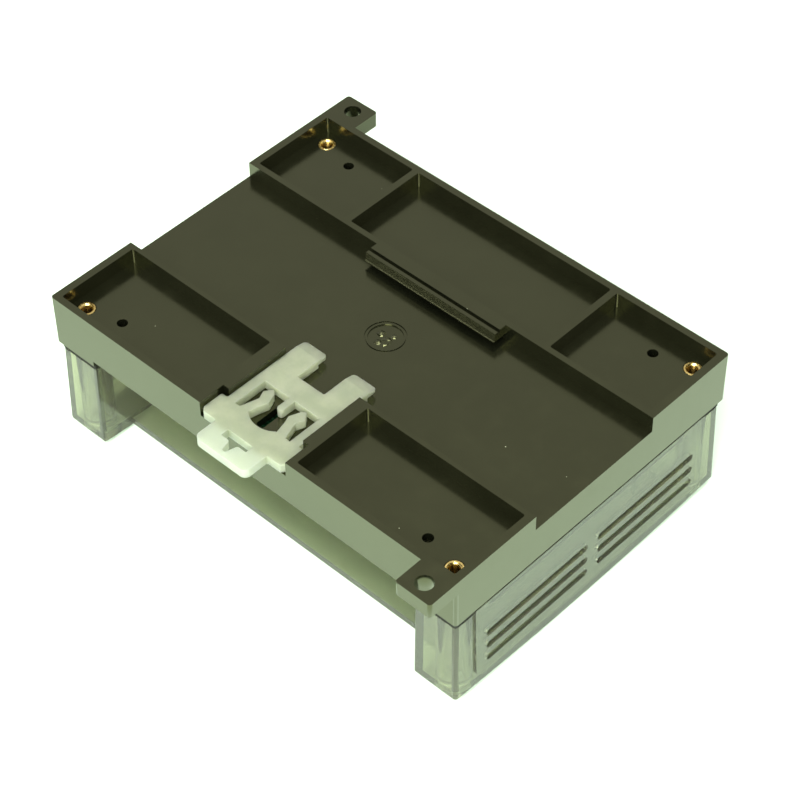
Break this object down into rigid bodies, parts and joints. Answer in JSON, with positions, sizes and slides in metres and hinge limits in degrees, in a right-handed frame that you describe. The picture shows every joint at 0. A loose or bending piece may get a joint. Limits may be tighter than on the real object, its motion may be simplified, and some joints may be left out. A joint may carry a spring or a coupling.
{
  "type": "plc module",
  "caption": "Rail-mount controller module: black base with rail channel and ears, smoked clear vented cover, sprung nylon rail clip, and a circuit board inside.",
  "frame": {"origin": "centre of the bounding box's underside, where the cover's front face meets the surface it lies on", "axes": "+X along the rail (long side), +Y across the rail away from the clip's pull tab, +Z out of the rail side, up as it lies"},
  "size_m": [0.1256, 0.1058, 0.042],
  "materials": {
    "black_plastic": "glossy moulded black",
    "smoked_clear": "clear moulded plastic with a light smoke tint",
    "natural_nylon": "milky, slightly see-through",
    "brass": "turned and knurled",
    "screw_steel": "zinc plated",
    "board_green": "solder mask over glass fibre",
    "chip_black": "moulded epoxy",
    "can_metal": "bright drawn can",
    "ferrite": "dark sintered",
    "capacitor_can": "bright can",
    "relay_case": "blue moulded case",
    "coupler_white": "white moulded body",
    "led_lens": "tinted lens",
    "connector_black": "moulded",
    "cell_steel": "plated cell"
  },
  "bodies": {
    "module": {"base_housing": "black_plastic", "clear_cover": "smoked_clear", "threaded_inserts": "brass", "board_screws": "screw_steel", "circuit_board": "board_green", "controller_chip": "chip_black", "memory_chip": "chip_black", "bus_driver_chip": "chip_black", "crystal_can": "can_metal", "voltage_regulator": "chip_black", "power_inductor": "ferrite", "programming_header": "connector_black", "cell_holder": "connector_black", "backup_cell": "cell_steel", "bulk_capacitor_1": "capacitor_can", "bulk_capacitor_2": "capacitor_can", "output_relay_1": "relay_case", "output_relay_2": "relay_case", "output_relay_3": "relay_case", "output_relay_4": "relay_case", "input_coupler_1": "coupler_white", "input_coupler_2": "coupler_white", "input_coupler_3": "coupler_white", "input_coupler_4": "coupler_white", "status_led_1": "led_lens", "status_led_2": "led_lens", "status_led_3": "led_lens", "status_led_4": "led_lens"},
    "clip": {"rail_clip": "natural_nylon"}
  },
  "joints": [
    {"name": "rail_clip_slide", "type": "slide", "parent": "module", "child": "clip", "axis": [0, -1, 0], "range_m": [0, 0.006], "stiffness_N_per_m": 1500}
  ]
}
